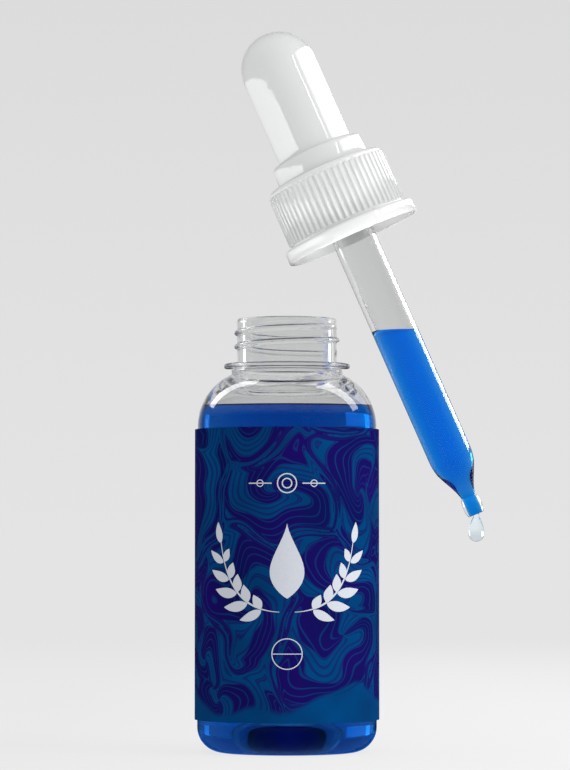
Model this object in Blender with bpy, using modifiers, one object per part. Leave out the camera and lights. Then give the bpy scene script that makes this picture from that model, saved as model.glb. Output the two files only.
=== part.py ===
"""Dropper bottle for cuticle oil, stood open on a table with its dropper lifted out beside the neck.

Metres, +Z up. The origin is the middle of the bottle's foot, and X runs towards the side where the dropper hangs.
The bottle is a clear blow-moulded flask with a screw neck, a wrapped label and a filling of blue oil. The dropper is a
ribbed screw cap, a rubber bulb, a sealing washer and a glass pipette, part filled, with a drop at its mouth.
"""

import math

import bmesh
import bpy
from mathutils import Matrix, Vector

# Gap between neighbouring pieces, and how far a cutter runs past what it cuts
SEAT_GAP = 0.0003
CUT_OVERRUN = 0.002

# Bottle: straight wall, heel and shoulder
BODY_RADIUS = 0.0154
BODY_WALL = 0.0009
HEEL_RADIUS = 0.0043
SHOULDER_START = 0.0557
SHOULDER_HEIGHT = 0.0092
SHOULDER_TOP_WALL = 0.0022

# Bottle: thick foot, with a dome on its inner floor
FLOOR_THICKNESS = 0.0018
FLOOR_DOME_HEIGHT = 0.0024
FLOOR_DOME_RADIUS = 0.0095

# Bottle: neck, with the root bead and the support ring that stand proud of it
NECK_RADIUS = 0.00865
NECK_WALL = 0.00145
NECK_HEIGHT = 0.0078
RIM_ROUNDING = 0.0004
ROOT_BEAD_PROUD = 0.00092
ROOT_BEAD_HEIGHT = 0.00065
ROOT_BEAD_STEP = 0.0002
ROOT_GROOVE_DEPTH = 0.0004
ROOT_GROOVE_HEIGHT = 0.00025
SUPPORT_RING_PROUD = 0.00222
SUPPORT_RING_HEIGHT = 0.0008

# Neck thread, which the cap's thread follows in pitch and size
THREAD_PITCH = 0.00234
THREAD_TURNS = 2.0
THREAD_WIRE = 0.0005
THREAD_DEPTH = 0.00045
THREAD_BELOW_RIM = 0.0013
THREAD_FADE_TURNS = 0.12
THREAD_END_SHARE = 0.35

# Oil in the bottle, filled to just above the start of the shoulder's curve
OIL_SHOULDER_SHARE = 0.29

# Label, wrapped round the straight wall, with its open seam at the back
LABEL_ABOVE_HEEL = 0.0013
LABEL_BELOW_SHOULDER = 0.0004
LABEL_THICKNESS = 0.00025
LABEL_GAP = 0.0002
LABEL_SEAM = 0.0020

# Screw cap: heights are measured up its axis from the foot of its flared skirt
CAP_HEIGHT = 0.0130
CAP_WALL = 0.0011
CAP_TOP_WALL = 0.0012
CAP_TOP_ROUNDING = 0.0008
CAP_THREAD_CLEARANCE = 0.00025
CAP_THREAD_TURNS = 1.5
CAP_THREAD_FROM_FOOT = 0.0026
SKIRT_WALL = 0.00085
SKIRT_HEIGHT = 0.0025
SKIRT_ROUNDING = 0.0005
SKIRT_CLEARANCE = 0.00028
SKIRT_BORE_DEPTH = 0.0016
RIB_COUNT = 60
RIB_HEIGHT = 0.00033
RIB_CREST_SHARE = 0.30
RIB_FLANK_SHARE = 0.22
RIB_FROM_SKIRT = 0.0004
RIB_BELOW_TOP = 0.0009

# Rubber bulb: a ring above the cap's top and a flange below it, with a groove between that holds the cap
BULB_RADIUS = 0.0067
BULB_WALL = 0.0014
BULB_LENGTH = 0.0221
BULB_RING_PROUD = 0.0016
BULB_RING_HEIGHT = 0.0033
BULB_RING_ROUNDING = 0.0007
BULB_GROOVE_DEPTH = 0.0019
BULB_FLANGE_THICKNESS = 0.0014
BULB_SEAT_HEIGHT = 0.0050

# Sealing washer, between the bulb's flange and the bottle's rim
WASHER_THICKNESS = 0.0010

# Glass pipette: lengths are measured down its axis from the foot of the cap's skirt
PIPETTE_RADIUS = 0.00383
PIPETTE_WALL = 0.0010
PIPETTE_STRAIGHT = 0.0419
PIPETTE_TAPER = 0.0068
PIPETTE_FLARE = 0.0006
PIPETTE_FLARE_HEIGHT = 0.0009
PIPETTE_LIP_HEIGHT = 0.0012
TIP_NECK_RADIUS = 0.00125
TIP_BEAD_RADIUS = 0.0017
TIP_BEAD_LENGTH = 0.0033
TIP_BORE_RADIUS = 0.0008

# Oil in the pipette, measured up the axis from its mouth, and the drop that hangs there
PIPETTE_FILL = 0.0347
DROP_RADIUS = 0.00137
DROP_NECK_RADIUS = 0.0005
DROP_NECK_LENGTH = 0.0003
DROP_LENGTH = 0.0047

# Where the dropper hangs: the middle of its skirt's foot, from the middle of the bottle's rim
DROPPER_TILT_DEG = 23.8
DROPPER_SIDEWAYS = 0.0116
DROPPER_ABOVE_RIM = 0.0139

# Faceting
BOTTLE_STEPS = 48
CAP_STEPS = 60
SLIM_STEPS = 28
DROP_STEPS = 16
TURN_POINTS = 28
SMOOTH_ANGLE_DEG = 35

# Radii and heights up the bottle that several pieces share
BORE_RADIUS = NECK_RADIUS - NECK_WALL
THREAD_CREST_RADIUS = NECK_RADIUS + THREAD_DEPTH
ROOT_BEAD_RADIUS = NECK_RADIUS + ROOT_BEAD_PROUD
SUPPORT_RING_RADIUS = NECK_RADIUS + SUPPORT_RING_PROUD
SHOULDER_INSET = BODY_RADIUS - ROOT_BEAD_RADIUS + ROOT_BEAD_STEP
SHOULDER_RADIUS = (SHOULDER_INSET**2 + SHOULDER_HEIGHT**2) / (2 * SHOULDER_INSET)
SHOULDER_CENTRE = BODY_RADIUS - SHOULDER_RADIUS
SHOULDER_TOP = SHOULDER_START + SHOULDER_HEIGHT
RING_FOOT = SHOULDER_TOP + ROOT_BEAD_HEIGHT + ROOT_GROOVE_HEIGHT
RING_TOP = RING_FOOT + SUPPORT_RING_HEIGHT
RIM_TOP = RING_TOP + NECK_HEIGHT

# Radii and heights in the cap that follow the neck
CAP_BORE_RADIUS = THREAD_CREST_RADIUS + CAP_THREAD_CLEARANCE
CAP_ROOT_RADIUS = CAP_BORE_RADIUS + CAP_WALL
SKIRT_BORE_RADIUS = SUPPORT_RING_RADIUS + SKIRT_CLEARANCE
SKIRT_RADIUS = SKIRT_BORE_RADIUS + SKIRT_WALL
CAP_CEILING = CAP_HEIGHT - CAP_TOP_WALL

# Radii and heights of the pieces that the cap holds
BULB_RING_RADIUS = BULB_RADIUS + BULB_RING_PROUD
BULB_GROOVE_RADIUS = BULB_RING_RADIUS - BULB_GROOVE_DEPTH
BULB_RING_FOOT = CAP_HEIGHT + SEAT_GAP
BULB_RING_TOP = BULB_RING_FOOT + BULB_RING_HEIGHT
BULB_TOP = BULB_RING_TOP + BULB_LENGTH
FLANGE_RADIUS = CAP_BORE_RADIUS - THREAD_DEPTH - SEAT_GAP
FLANGE_TOP = CAP_CEILING - SEAT_GAP
FLANGE_FOOT = FLANGE_TOP - BULB_FLANGE_THICKNESS
BULB_SEAT = FLANGE_TOP + BULB_SEAT_HEIGHT
WASHER_TOP = FLANGE_FOOT - SEAT_GAP
FLARE_FOOT = BULB_SEAT + SEAT_GAP
FLARE_TOP = FLARE_FOOT + PIPETTE_FLARE_HEIGHT
PIPETTE_TOP = FLARE_TOP + PIPETTE_LIP_HEIGHT
PIPETTE_BORE_RADIUS = PIPETTE_RADIUS - PIPETTE_WALL
TAPER_FOOT = -PIPETTE_STRAIGHT - PIPETTE_TAPER
MOUTH = TAPER_FOOT - TIP_BEAD_LENGTH


def clear_scene():
    """Empties the file, so that the script gives the same model each time."""
    for obj in list(bpy.data.objects):
        bpy.data.objects.remove(obj, do_unlink=True)
    for collection in list(bpy.data.collections):
        bpy.data.collections.remove(collection)


def new_collection(name):
    collection = bpy.data.collections.new(name)
    bpy.context.scene.collection.children.link(collection)
    return collection


def new_material(name, colour, roughness, transmission=0.0, ior=1.5):
    """A Principled material: the colour is linear red, green and blue."""
    material = bpy.data.materials.new(name)
    material.use_nodes = True
    shader = material.node_tree.nodes["Principled BSDF"]
    shader.inputs["Base Color"].default_value = (*colour, 1.0)
    shader.inputs["Roughness"].default_value = roughness
    shader.inputs["Metallic"].default_value = 0.0
    shader.inputs["Transmission Weight"].default_value = transmission
    shader.inputs["IOR"].default_value = ior
    return material


def arc(centre_radius, centre_height, radius, start_deg, end_deg, steps):
    """Points (radius, height) round an arc, with 0 degrees outwards and 90 degrees up."""
    points = []
    for i in range(steps + 1):
        angle = math.radians(start_deg + (end_deg - start_deg) * i / steps)
        points.append((centre_radius + radius * math.cos(angle), centre_height + radius * math.sin(angle)))
    return points


def settled(obj, name, collection):
    """Replaces an object by its evaluated mesh, welded, with its faces out, in the same place."""
    bpy.context.view_layer.update()
    graph = bpy.context.evaluated_depsgraph_get()
    mesh = bpy.data.meshes.new_from_object(obj.evaluated_get(graph))
    mesh.name = name
    place = obj.matrix_world.copy()
    bpy.data.objects.remove(obj, do_unlink=True)
    shape = bmesh.new()
    shape.from_mesh(mesh)
    bmesh.ops.remove_doubles(shape, verts=shape.verts, dist=0.000001)
    bmesh.ops.recalc_face_normals(shape, faces=shape.faces)
    shape.to_mesh(mesh)
    shape.free()
    mesh.shade_smooth()
    mesh.set_sharp_from_angle(angle=math.radians(SMOOTH_ANGLE_DEG))
    made = bpy.data.objects.new(name, mesh)
    made.matrix_world = place
    collection.objects.link(made)
    return made


def turned(name, outline, steps, collection, material=None, closed=False, angle=2 * math.pi):
    """A turned piece: the outline runs down its outer side and is screwed once round +Z.

    A closed outline is a ring's section, and an open one starts and ends on the axis.
    """
    mesh = bpy.data.meshes.new(name + "_outline")
    edges = [(i, i + 1) for i in range(len(outline) - 1)]
    if closed:
        edges.append((len(outline) - 1, 0))
    mesh.from_pydata([(radius, 0.0, height) for radius, height in outline], edges, [])
    if material:
        mesh.materials.append(material)
    obj = bpy.data.objects.new(name + "_outline", mesh)
    collection.objects.link(obj)
    screw = obj.modifiers.new("turn", "SCREW")
    screw.axis = "Z"
    screw.angle = angle
    screw.steps = steps
    screw.render_steps = steps
    screw.use_merge_vertices = True
    screw.merge_threshold = 0.00001
    return settled(obj, name, collection)


def join_tool(target, tool, operation):
    """Cuts or joins with a shape that is no piece by itself."""
    modifier = target.modifiers.new(tool.name, "BOOLEAN")
    modifier.operation = operation
    modifier.solver = "EXACT"
    modifier.object = tool
    tool.hide_render = True
    tool.display_type = "WIRE"


def half_space(name, place, size, tools):
    """A cube that stands on the place given, turned as it is, to cut off all that lies above."""
    shape = bmesh.new()
    bmesh.ops.create_cube(shape, size=size)
    bmesh.ops.translate(shape, vec=(0.0, 0.0, size / 2), verts=shape.verts)
    mesh = bpy.data.meshes.new(name)
    shape.to_mesh(mesh)
    shape.free()
    cutter = bpy.data.objects.new(name, mesh)
    cutter.matrix_world = place
    tools.objects.link(cutter)
    return cutter


def thread_ridge(name, centre_radius, top, turns, collection):
    """A right-handed helical ridge as a round wire, thinner at both ends until it is buried in its wall."""
    count = round(turns * TURN_POINTS)
    data = bpy.data.curves.new(name + "_path", "CURVE")
    data.dimensions = "3D"
    data.bevel_depth = THREAD_WIRE
    data.bevel_resolution = 1
    data.use_fill_caps = True
    spline = data.splines.new("POLY")
    spline.points.add(count)
    for i, point in enumerate(spline.points):
        turned_by = i / TURN_POINTS
        from_end = min(turned_by, turns - turned_by)
        angle = -2 * math.pi * turned_by
        point.radius = min(1.0, THREAD_END_SHARE + (1.0 - THREAD_END_SHARE) * from_end / THREAD_FADE_TURNS)
        height = top - THREAD_PITCH * turned_by
        point.co = (centre_radius * math.cos(angle), centre_radius * math.sin(angle), height, 1.0)
    obj = bpy.data.objects.new(name + "_path", data)
    collection.objects.link(obj)
    return settled(obj, name, collection)


def inner_floor(gap):
    """The bottle's inner floor and heel, from the axis out to the straight wall, moved in by the gap."""
    valley = FLOOR_THICKNESS + gap
    heel = HEEL_RADIUS - BODY_WALL - gap
    wall = BODY_RADIUS - BODY_WALL - gap
    dome_steps = 5
    points = []
    for i in range(dome_steps + 1):
        share = i / dome_steps
        rise = FLOOR_DOME_HEIGHT * (0.5 + 0.5 * math.cos(math.pi * share))
        points.append((FLOOR_DOME_RADIUS * share, valley + rise))
    return points + arc(wall - heel, valley + heel, heel, -90, 0, 4)


def inner_shoulder(gap, end_share, steps):
    """The inside of the shoulder, from the straight wall up, moved in by the gap.

    The wall thickens on the way and meets the neck's bore in a corner, where the share is 1.
    """
    thickening = SHOULDER_TOP_WALL - BODY_WALL
    corner = math.acos((BORE_RADIUS - SHOULDER_CENTRE) / (SHOULDER_RADIUS - SHOULDER_TOP_WALL))
    points = []
    for i in range(steps + 1):
        share = end_share * i / steps
        reach = SHOULDER_RADIUS - BODY_WALL - gap - thickening * share**2
        radius = SHOULDER_CENTRE + reach * math.cos(corner * share)
        points.append((radius, SHOULDER_START + reach * math.sin(corner * share)))
    return points


def bottle_outline():
    """The flask's section: inner floor, inner wall and rim, then the outside from the neck down to the foot."""
    sweep_deg = math.degrees(math.acos((SHOULDER_RADIUS - SHOULDER_INSET) / SHOULDER_RADIUS))
    half_ring = SUPPORT_RING_HEIGHT / 2
    groove_radius = ROOT_BEAD_RADIUS - ROOT_GROOVE_DEPTH
    points = inner_floor(0.0)
    points += inner_shoulder(0.0, 1.0, 8)
    points += arc(BORE_RADIUS + RIM_ROUNDING, RIM_TOP - RIM_ROUNDING, RIM_ROUNDING, 180, 90, 2)
    points += arc(NECK_RADIUS - RIM_ROUNDING, RIM_TOP - RIM_ROUNDING, RIM_ROUNDING, 90, 0, 2)
    points += [(NECK_RADIUS, RING_TOP)]
    points += arc(SUPPORT_RING_RADIUS - half_ring, RING_TOP - half_ring, half_ring, 90, -90, 4)
    points += [(groove_radius, RING_FOOT), (groove_radius, RING_FOOT - ROOT_GROOVE_HEIGHT)]
    points += [(ROOT_BEAD_RADIUS, RING_FOOT - ROOT_GROOVE_HEIGHT), (ROOT_BEAD_RADIUS, SHOULDER_TOP)]
    points += arc(SHOULDER_CENTRE, SHOULDER_START, SHOULDER_RADIUS, sweep_deg, 0, 8)
    points += arc(BODY_RADIUS - HEEL_RADIUS, HEEL_RADIUS, HEEL_RADIUS, 0, -90, 6)
    return points + [(0.0, 0.0)]


def make_bottle(pieces, tools):
    """The clear flask, with its neck's thread joined on."""
    plastic = new_material("clear_plastic", (0.86, 0.88, 0.88), 0.05, transmission=1.0, ior=1.57)
    bottle = turned("bottle", bottle_outline(), BOTTLE_STEPS, pieces, plastic)
    ridge_centre = THREAD_CREST_RADIUS - THREAD_WIRE
    ridge = thread_ridge("neck_thread", ridge_centre, RIM_TOP - THREAD_BELOW_RIM, THREAD_TURNS, tools)
    join_tool(bottle, ridge, "UNION")


def make_bottle_oil(pieces):
    """The blue filling, which follows the inside of the bottle and is level on top."""
    oil = new_material("deep_blue_oil", (0.0, 0.045, 0.30), 0.02, transmission=0.6, ior=1.47)
    outline = inner_floor(SEAT_GAP) + inner_shoulder(SEAT_GAP, OIL_SHOULDER_SHARE, 3)
    level = outline[-1][1]
    turned("bottle_oil", outline + [(0.0, level)], BOTTLE_STEPS, pieces, oil)


def make_label(pieces):
    """The printed wrap: an open sleeve with its seam at +Y, given its thickness outwards."""
    film = new_material("printed_label", (0.012, 0.02, 0.14), 0.35)
    inner_radius = BODY_RADIUS + LABEL_GAP
    seam_angle = LABEL_SEAM / inner_radius
    outline = [(inner_radius, SHOULDER_START - LABEL_BELOW_SHOULDER), (inner_radius, HEEL_RADIUS + LABEL_ABOVE_HEEL)]
    wrap_angle = 2 * math.pi - seam_angle
    label = turned("bottle_label", outline, BOTTLE_STEPS, pieces, film, angle=wrap_angle)
    label.rotation_euler.z = math.pi / 2 + seam_angle / 2
    sheet = label.modifiers.new("thickness", "SOLIDIFY")
    sheet.thickness = LABEL_THICKNESS
    sheet.offset = 1.0


def cap_outline():
    """The cap's section: domed top edge, root of the ribbed wall, flared skirt, then the bores back up."""
    points = [(BULB_GROOVE_RADIUS + SEAT_GAP, CAP_HEIGHT)]
    points += arc(CAP_ROOT_RADIUS - CAP_TOP_ROUNDING, CAP_HEIGHT - CAP_TOP_ROUNDING, CAP_TOP_ROUNDING, 90, 0, 3)
    points += [(CAP_ROOT_RADIUS, SKIRT_HEIGHT)]
    points += arc(SKIRT_RADIUS - SKIRT_ROUNDING, SKIRT_HEIGHT - SKIRT_ROUNDING, SKIRT_ROUNDING, 90, 0, 2)
    points += arc(SKIRT_RADIUS - SKIRT_ROUNDING, SKIRT_ROUNDING, SKIRT_ROUNDING, 0, -90, 2)
    points += [(SKIRT_BORE_RADIUS, 0.0), (SKIRT_BORE_RADIUS, SKIRT_BORE_DEPTH)]
    points += [(CAP_BORE_RADIUS, SKIRT_BORE_DEPTH), (CAP_BORE_RADIUS, CAP_CEILING)]
    return points + [(BULB_GROOVE_RADIUS + SEAT_GAP, CAP_CEILING)]


def rib_sleeve(tools):
    """The ring of upright ribs: a toothed outline with a round hole inside the wall, extruded up the cap."""
    foot = SKIRT_HEIGHT + RIB_FROM_SKIRT
    top = CAP_HEIGHT - RIB_BELOW_TOP
    tooth = 2 * math.pi / RIB_COUNT
    half_crest = tooth * RIB_CREST_SHARE / 2
    half_foot = half_crest + tooth * RIB_FLANK_SHARE
    toothed = []
    for i in range(RIB_COUNT):
        middle = i * tooth
        toothed.append((CAP_ROOT_RADIUS, middle - half_foot))
        toothed.append((CAP_ROOT_RADIUS + RIB_HEIGHT, middle - half_crest))
        toothed.append((CAP_ROOT_RADIUS + RIB_HEIGHT, middle + half_crest))
        toothed.append((CAP_ROOT_RADIUS, middle + half_foot))
    buried = [(CAP_ROOT_RADIUS - CAP_WALL / 2, i * tooth) for i in range(RIB_COUNT)]
    data = bpy.data.curves.new("ribs_outline", "CURVE")
    data.dimensions = "2D"
    data.fill_mode = "BOTH"
    data.extrude = (top - foot) / 2
    for ring in (toothed, buried):
        spline = data.splines.new("POLY")
        spline.use_cyclic_u = True
        spline.points.add(len(ring) - 1)
        for point, (radius, angle) in zip(spline.points, ring):
            point.co = (radius * math.cos(angle), radius * math.sin(angle), 0.0, 1.0)
    obj = bpy.data.objects.new("ribs_outline", data)
    obj.location.z = (top + foot) / 2
    tools.objects.link(obj)
    return settled(obj, "cap_ribs", tools)


def make_cap(pieces, tools, carrier):
    """The screw cap, with its ribs and its inner thread joined on."""
    white = new_material("white_plastic", (0.83, 0.84, 0.84), 0.22)
    cap = turned("screw_cap", cap_outline(), CAP_STEPS, pieces, white, closed=True)
    ridge_centre = CAP_BORE_RADIUS - THREAD_DEPTH + THREAD_WIRE
    ridge_top = CAP_THREAD_FROM_FOOT + THREAD_PITCH * CAP_THREAD_TURNS
    ridge = thread_ridge("cap_thread", ridge_centre, ridge_top, CAP_THREAD_TURNS, tools)
    for tool in (rib_sleeve(tools), ridge):
        tool.parent = carrier
        join_tool(cap, tool, "UNION")
    cap.parent = carrier


def make_bulb(pieces, carrier):
    """The rubber bulb: domed top, straight side, ring, groove and flange, with the pipette's seat inside."""
    rubber = new_material("white_rubber", (0.80, 0.81, 0.82), 0.28)
    grip_radius = PIPETTE_RADIUS + SEAT_GAP
    cavity_radius = BULB_RADIUS - BULB_WALL
    dome_foot = BULB_TOP - BULB_RADIUS
    rounding = BULB_RING_ROUNDING
    outline = arc(0.0, dome_foot, BULB_RADIUS, 90, 0, 7) + [(BULB_RADIUS, BULB_RING_TOP)]
    outline += arc(BULB_RING_RADIUS - rounding, BULB_RING_TOP - rounding, rounding, 90, 0, 3)
    outline += [(BULB_RING_RADIUS, BULB_RING_FOOT), (BULB_GROOVE_RADIUS, BULB_RING_FOOT)]
    outline += [(BULB_GROOVE_RADIUS, FLANGE_TOP), (FLANGE_RADIUS, FLANGE_TOP), (FLANGE_RADIUS, FLANGE_FOOT)]
    outline += [(grip_radius, FLANGE_FOOT), (grip_radius, BULB_SEAT), (cavity_radius, BULB_SEAT)]
    outline += arc(0.0, dome_foot, cavity_radius, 0, 90, 5)
    turned("bulb", outline, SLIM_STEPS, pieces, rubber).parent = carrier


def make_washer(pieces, carrier):
    """The flat washer that seals on the bottle's rim, free round the pipette."""
    foam = new_material("washer_foam", (0.72, 0.73, 0.74), 0.7)
    hole = PIPETTE_RADIUS + SEAT_GAP
    foot = WASHER_TOP - WASHER_THICKNESS
    outline = [(hole, WASHER_TOP), (FLANGE_RADIUS, WASHER_TOP), (FLANGE_RADIUS, foot), (hole, foot)]
    turned("sealing_washer", outline, SLIM_STEPS, pieces, foam, closed=True).parent = carrier


def eased(share):
    """A rise from 0 to 1 that is half a straight slope and half a smooth step."""
    return (share + (1 - math.cos(math.pi * share)) / 2) / 2


def pipette_bore(gap):
    """The inside of the glass from the nozzle's top to the straight bore, moved in by the gap."""
    bore = PIPETTE_BORE_RADIUS - gap
    nozzle = TIP_BORE_RADIUS - gap
    steps = 6
    points = []
    for i in range(steps + 1):
        share = i / steps
        points.append((nozzle + (bore - nozzle) * eased(share), TAPER_FOOT + PIPETTE_TAPER * share))
    return points


def make_pipette(pieces, carrier):
    """The glass tube: lip and flare in the bulb, straight barrel, taper, waist and beaded mouth."""
    glass = new_material("clear_glass", (0.95, 0.96, 0.96), 0.02, transmission=1.0, ior=1.5)
    flare_radius = PIPETTE_RADIUS + PIPETTE_FLARE
    outline = [(PIPETTE_BORE_RADIUS, PIPETTE_TOP), (PIPETTE_RADIUS, PIPETTE_TOP), (PIPETTE_RADIUS, FLARE_TOP)]
    outline += [(flare_radius, (FLARE_TOP + FLARE_FOOT) / 2), (flare_radius, FLARE_FOOT)]
    outline += [(PIPETTE_RADIUS, FLARE_FOOT)]
    taper_steps = 6
    for i in range(taper_steps):
        share = i / taper_steps
        radius = PIPETTE_RADIUS - (PIPETTE_RADIUS - TIP_NECK_RADIUS) * eased(share)
        outline.append((radius, -PIPETTE_STRAIGHT - PIPETTE_TAPER * share))
    bead_steps = 6
    for i in range(bead_steps + 1):
        angle = math.pi * i / bead_steps
        swell = (TIP_BEAD_RADIUS - TIP_NECK_RADIUS) * math.sin(angle)
        outline.append((TIP_NECK_RADIUS + swell, MOUTH + TIP_BEAD_LENGTH * (1 + math.cos(angle)) / 2))
    outline += [(TIP_BORE_RADIUS, MOUTH)] + pipette_bore(0.0)
    turned("pipette", outline, SLIM_STEPS, pieces, glass, closed=True).parent = carrier


def make_pipette_oil(pieces, tools, carrier):
    """The oil drawn up the pipette: it fills the bore, and a level cut makes its surface in the leaning tube."""
    oil = new_material("bright_blue_oil", (0.01, 0.10, 0.55), 0.02, transmission=0.6, ior=1.47)
    bore = PIPETTE_BORE_RADIUS - SEAT_GAP
    surface = MOUTH + PIPETTE_FILL
    top = surface + bore + CUT_OVERRUN
    outline = [(0.0, top), (bore, top)]
    outline += reversed(pipette_bore(SEAT_GAP))
    outline += [(TIP_BORE_RADIUS - SEAT_GAP, MOUTH), (0.0, MOUTH)]
    column = turned("pipette_oil", outline, SLIM_STEPS, pieces, oil)
    column.parent = carrier
    level = Matrix.Translation(carrier.matrix_world @ Vector((0.0, 0.0, surface)))
    size = 2 * (PIPETTE_RADIUS + top - surface + CUT_OVERRUN)
    join_tool(column, half_space("level_cut", level, size, tools), "DIFFERENCE")


def make_drop(pieces, tools, carrier):
    """The drop at the pipette's mouth: a plumb teardrop whose narrow top follows the slant of the mouth."""
    clear_oil = new_material("oil_drop", (0.75, 0.84, 0.93), 0.02, transmission=0.9, ior=1.47)
    belly = DROP_RADIUS - DROP_LENGTH
    outline = [(0.0, CUT_OVERRUN), (DROP_NECK_RADIUS, CUT_OVERRUN)]
    swell_steps = 6
    for i in range(swell_steps):
        share = i / swell_steps
        radius = DROP_NECK_RADIUS + (DROP_RADIUS - DROP_NECK_RADIUS) * math.sin(share * math.pi / 2)
        outline.append((radius, -DROP_NECK_LENGTH + (belly + DROP_NECK_LENGTH) * share))
    outline += arc(0.0, belly, DROP_RADIUS, 0, -90, 6)
    drop = turned("hanging_drop", outline, DROP_STEPS, pieces, clear_oil)
    drop.location = carrier.matrix_world @ Vector((0.0, 0.0, MOUTH))
    mouth = carrier.matrix_world @ Matrix.Translation((0.0, 0.0, MOUTH - SEAT_GAP))
    size = 4 * (DROP_RADIUS + CUT_OVERRUN)
    join_tool(drop, half_space("mouth_cut", mouth, size, tools), "DIFFERENCE")


def make_carrier(pieces):
    """The empty that the dropper's pieces hang from: the middle of its skirt's foot, leaning over the bottle."""
    carrier = bpy.data.objects.new("dropper_axis", None)
    pieces.objects.link(carrier)
    place = Matrix.Translation((DROPPER_SIDEWAYS, 0.0, RIM_TOP + DROPPER_ABOVE_RIM))
    carrier.matrix_world = place @ Matrix.Rotation(-math.radians(DROPPER_TILT_DEG), 4, "Y")
    bpy.context.view_layer.update()
    return carrier


clear_scene()
pieces = new_collection("cuticle_oil_bottle")
tools = new_collection("cutters_and_joined_shapes")
make_bottle(pieces, tools)
make_bottle_oil(pieces)
make_label(pieces)
carrier = make_carrier(pieces)
make_cap(pieces, tools, carrier)
make_bulb(pieces, carrier)
make_washer(pieces, carrier)
make_pipette(pieces, carrier)
make_pipette_oil(pieces, tools, carrier)
make_drop(pieces, tools, carrier)
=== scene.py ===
"""Looks of an open dropper bottle of blue cuticle oil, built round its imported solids.

Metres, +Z up, in the frame of the solids: the origin is the middle of the bottle's foot, and +X is the side
where the dropper hangs. The sections follow the object as it is put together: the bottle, its oil, the label
and its white print, then the dropper from its glass outwards, and last the table, room, lamps and camera.
"""

import math

import bmesh
import bpy
from mathutils import Matrix, Vector


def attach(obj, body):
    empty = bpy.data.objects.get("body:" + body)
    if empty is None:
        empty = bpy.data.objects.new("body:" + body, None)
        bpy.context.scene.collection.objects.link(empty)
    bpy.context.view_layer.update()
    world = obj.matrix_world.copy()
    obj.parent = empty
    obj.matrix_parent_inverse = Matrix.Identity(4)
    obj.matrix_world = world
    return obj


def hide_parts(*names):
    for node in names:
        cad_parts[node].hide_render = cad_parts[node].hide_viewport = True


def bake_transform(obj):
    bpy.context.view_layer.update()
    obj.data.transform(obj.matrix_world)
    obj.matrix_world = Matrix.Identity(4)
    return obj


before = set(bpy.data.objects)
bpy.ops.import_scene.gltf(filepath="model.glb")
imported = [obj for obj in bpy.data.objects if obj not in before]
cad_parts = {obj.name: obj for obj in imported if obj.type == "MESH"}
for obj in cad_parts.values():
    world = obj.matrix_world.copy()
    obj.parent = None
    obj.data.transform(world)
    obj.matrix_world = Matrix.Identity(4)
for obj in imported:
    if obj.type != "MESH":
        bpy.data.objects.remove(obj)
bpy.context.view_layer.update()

# Bottle: a flask blow-moulded in clear plastic from a preform. The neck and its thread are thick and true,
# the body is thinner, and the floor is pushed up, so that the bottle stands on a ring. Where the oil wets
# the plastic, it reflects less.
BODY_RADIUS = 0.0154
BODY_WALL = 0.0009
HEEL_RADIUS = 0.0043
SHOULDER_START = 0.0557
SHOULDER_RISE = 0.0092
SHOULDER_INSET = 0.00603
SHOULDER_TOP_WALL = 0.0022
FLOOR_THICKNESS = 0.0009
FLOOR_DOME_RISE = 0.0048
FLOOR_DOME_FLAT = 0.0034
FLOOR_DOME_RADIUS = 0.0111
FLOOR_DOME_STEPS = 20
NECK_RADIUS = 0.00865
BORE_RADIUS = 0.0072
ROOT_BEAD_RADIUS = 0.00957
ROOT_BEAD_TOP = 0.06555
GROOVE_RADIUS = 0.00917
RING_RADIUS = 0.01087
RING_FOOT = 0.0658
RING_TOP = 0.0666
RING_ROUNDING = 0.00032
RIM_TOP = 0.0744
RIM_ROUNDING = 0.0004
SMALL_ROUNDING = 0.00012
THREAD_PITCH = 0.00234
THREAD_HALF_WIDTH = 0.00056
THREAD_FLANK = 0.00042
THREAD_ROW = 0.0001
THREAD_FADE_TURNS = 0.12
NECK_THREAD_RISE = 0.00045
NECK_THREAD_TOP = 0.0731
NECK_THREAD_TURNS = 2.0
BOTTLE_STEPS = 144
EDGE_ROW = 0.001
WET_WALL_TOP = 0.0575
DRY_WALL_FOOT = 0.0585
WELD = 0.000001
SHARP_DEG = 50

shoulder_radius = (SHOULDER_INSET**2 + SHOULDER_RISE**2) / (2 * SHOULDER_INSET)
shoulder_centre = BODY_RADIUS - shoulder_radius


def arc(centre_radius, centre_height, radius, start_deg, end_deg, steps):
    """Points (radius, height) round an arc of a section, with 0 degrees outwards and 90 degrees up."""
    points = []
    for i in range(steps + 1):
        angle = math.radians(start_deg + (end_deg - start_deg) * i / steps)
        points.append((centre_radius + radius * math.cos(angle), centre_height + radius * math.sin(angle)))
    return points


def rows(radius, start, end, step):
    """Points (radius, height) along a straight wall, close enough together to raise a pattern on it."""
    count = math.ceil(abs(end - start) / step)
    return [(radius, start + (end - start) * i / count) for i in range(count + 1)]


def turned(section, steps, closed=False, angle=2 * math.pi):
    """Turns a section round +Z. A point is (radius, height), and a third number rounds that corner."""
    shape = bmesh.new()
    verts = [shape.verts.new((point[0], 0.0, point[1])) for point in section]
    for pair in zip(verts, verts[1:]):
        shape.edges.new(pair)
    if closed:
        shape.edges.new((verts[-1], verts[0]))
    for vert, point in zip(verts, section):
        if len(point) == 3:
            bmesh.ops.bevel(
                shape, geom=[vert], offset=point[2], affect="VERTICES", segments=4, profile=0.5, material=-1
            )
    outline = shape.verts[:] + shape.edges[:]
    full = angle > 2 * math.pi - WELD
    bmesh.ops.spin(
        shape, geom=outline, cent=(0, 0, 0), axis=(0, 0, 1), angle=angle, steps=steps, use_merge=full
    )
    bmesh.ops.remove_doubles(shape, verts=shape.verts, dist=WELD)
    bmesh.ops.recalc_face_normals(shape, faces=shape.faces)
    return shape


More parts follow.
